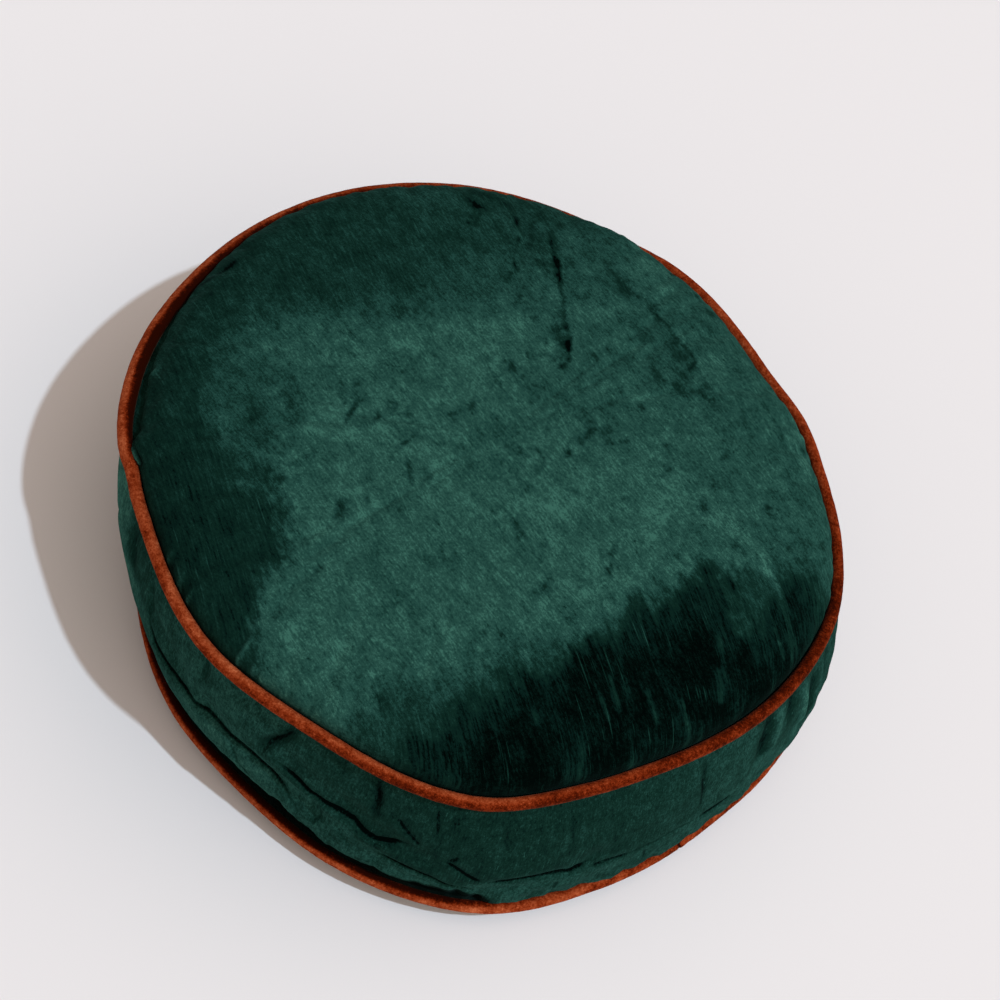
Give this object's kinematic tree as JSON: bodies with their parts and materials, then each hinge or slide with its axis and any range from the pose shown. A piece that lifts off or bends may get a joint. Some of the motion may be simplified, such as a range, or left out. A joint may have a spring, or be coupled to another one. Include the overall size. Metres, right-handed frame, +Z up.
{
  "type": "round seat cushion",
  "caption": "Round filled box cushion with a crowned top, a creased and bulging boxing band, and covered piping sewn into its top and bottom seams.",
  "frame": {"origin": "on the floor under the middle of the cushion's box", "axes": "+Z up out of the crown; the cushion lies on its back on Z = 0; +X towards the side where the bottom seam stands out furthest"},
  "size_m": [0.4856, 0.4692, 0.174],
  "materials": {
    "velvet_green": "dark green crushed velvet with a brushed nap",
    "velvet_rust": "rust velvet, gathered slightly round the cord"
  },
  "bodies": {
    "root": {"cushion_body": "velvet_green", "top_piping": "velvet_rust", "bottom_piping": "velvet_rust"}
  },
  "joints": []
}
